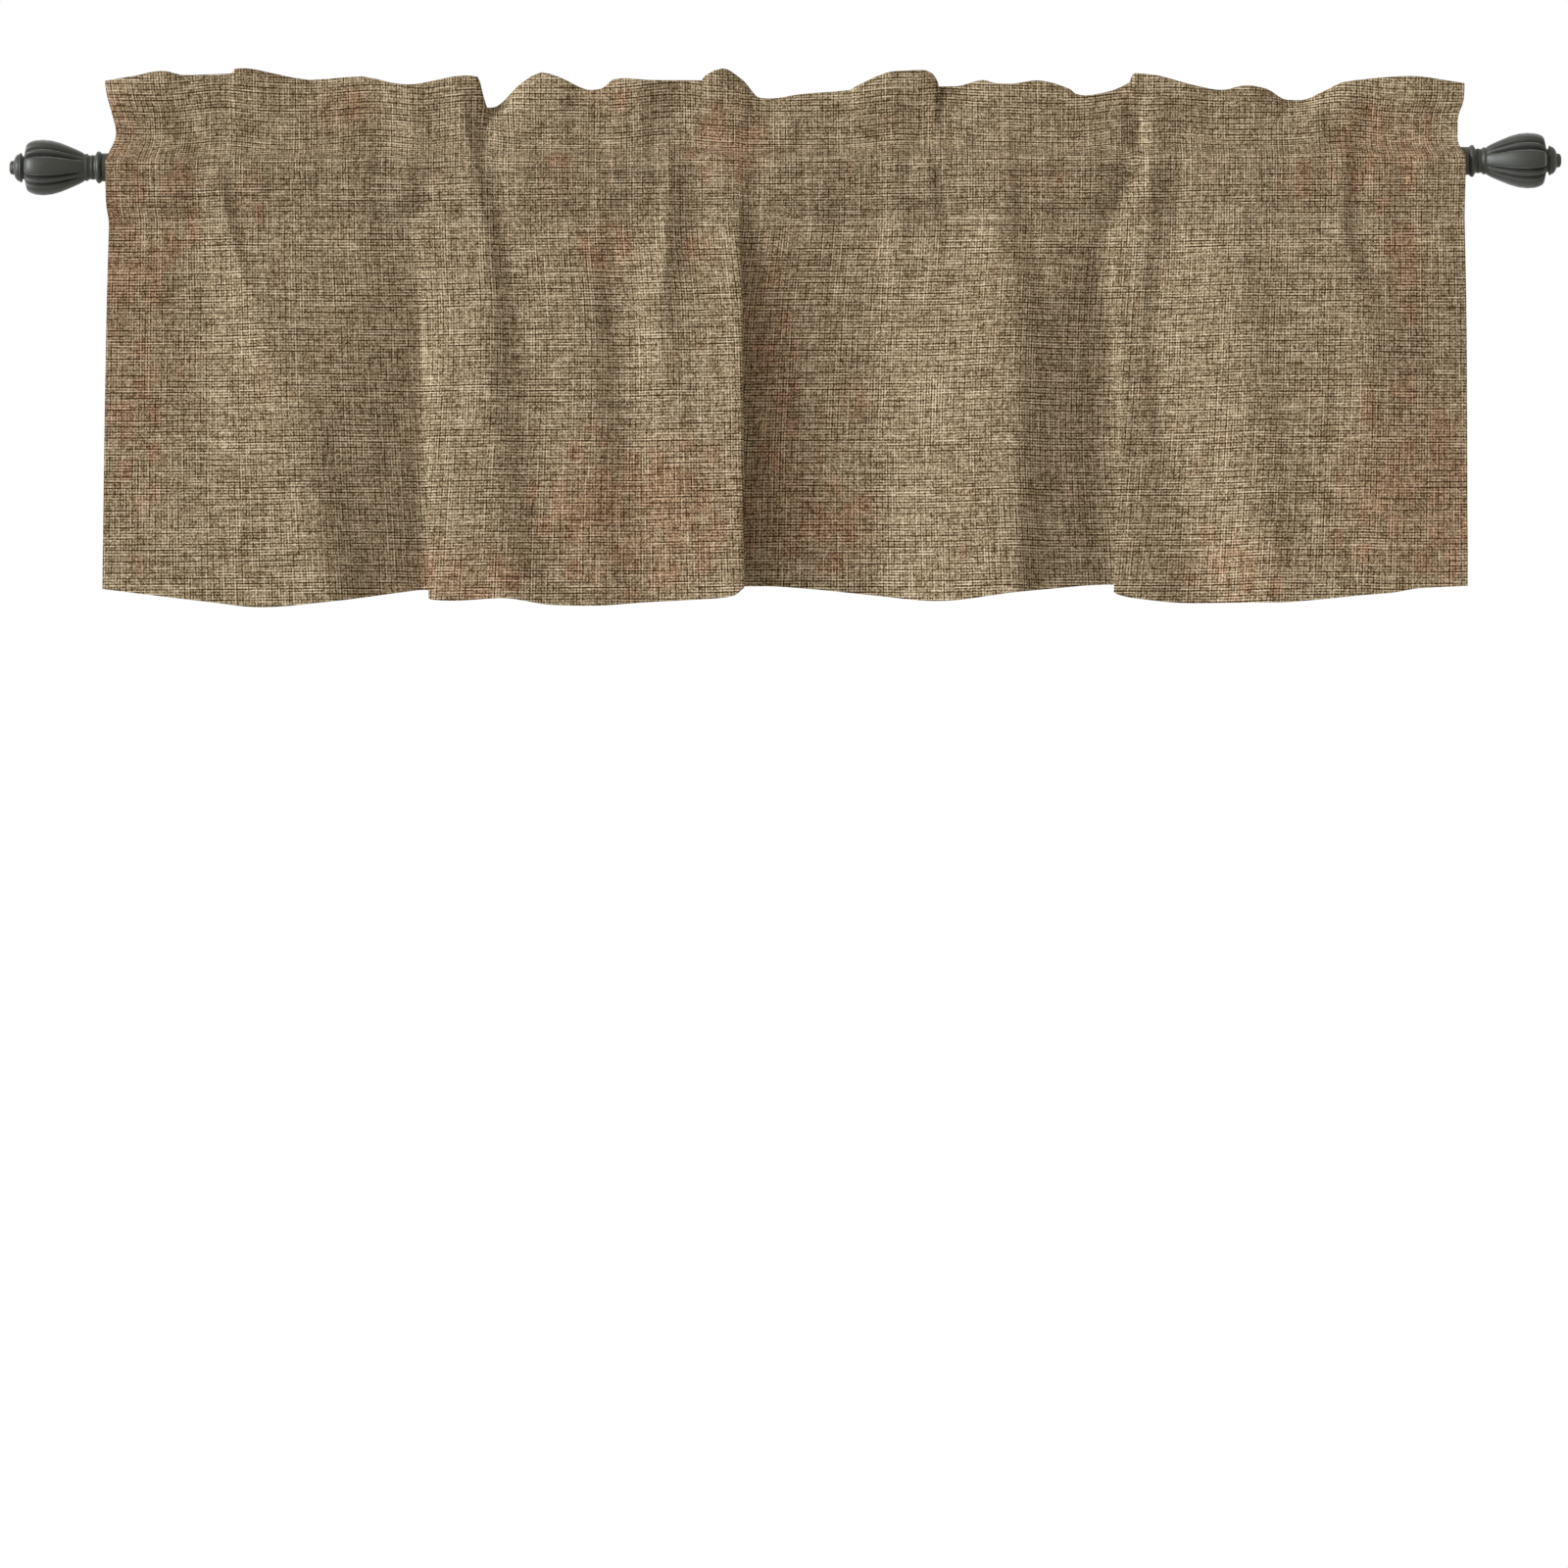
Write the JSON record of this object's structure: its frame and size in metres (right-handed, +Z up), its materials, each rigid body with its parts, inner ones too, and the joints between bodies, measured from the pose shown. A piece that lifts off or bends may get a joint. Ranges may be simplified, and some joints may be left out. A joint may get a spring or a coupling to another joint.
{
  "type": "rod-pocket window valance on curtain rod",
  "caption": "Short rod-pocket valance in plain slubby cloth, gathered on a round metal rod that ends in fluted bulb finials, with a ruffled header above the rod and soft uneven folds below.",
  "frame": {"origin": "on the rod's axis at the rod's mid-length, where the pair of rod brackets is centred", "axes": "+X along the rod to the right as seen from the room, +Y away from the room, +Z up"},
  "size_m": [1.3762, 0.0483, 0.4773],
  "materials": {
    "linen_cloth": "matte woven cloth with thick and thin yarns, khaki brown",
    "dark_bronze": "satin dark gunmetal"
  },
  "bodies": {
    "root": {"valance_cloth": "linen_cloth", "curtain_rod": "dark_bronze", "collar_left": "dark_bronze", "collar_right": "dark_bronze", "finial_left": "dark_bronze", "finial_right": "dark_bronze"}
  },
  "joints": []
}
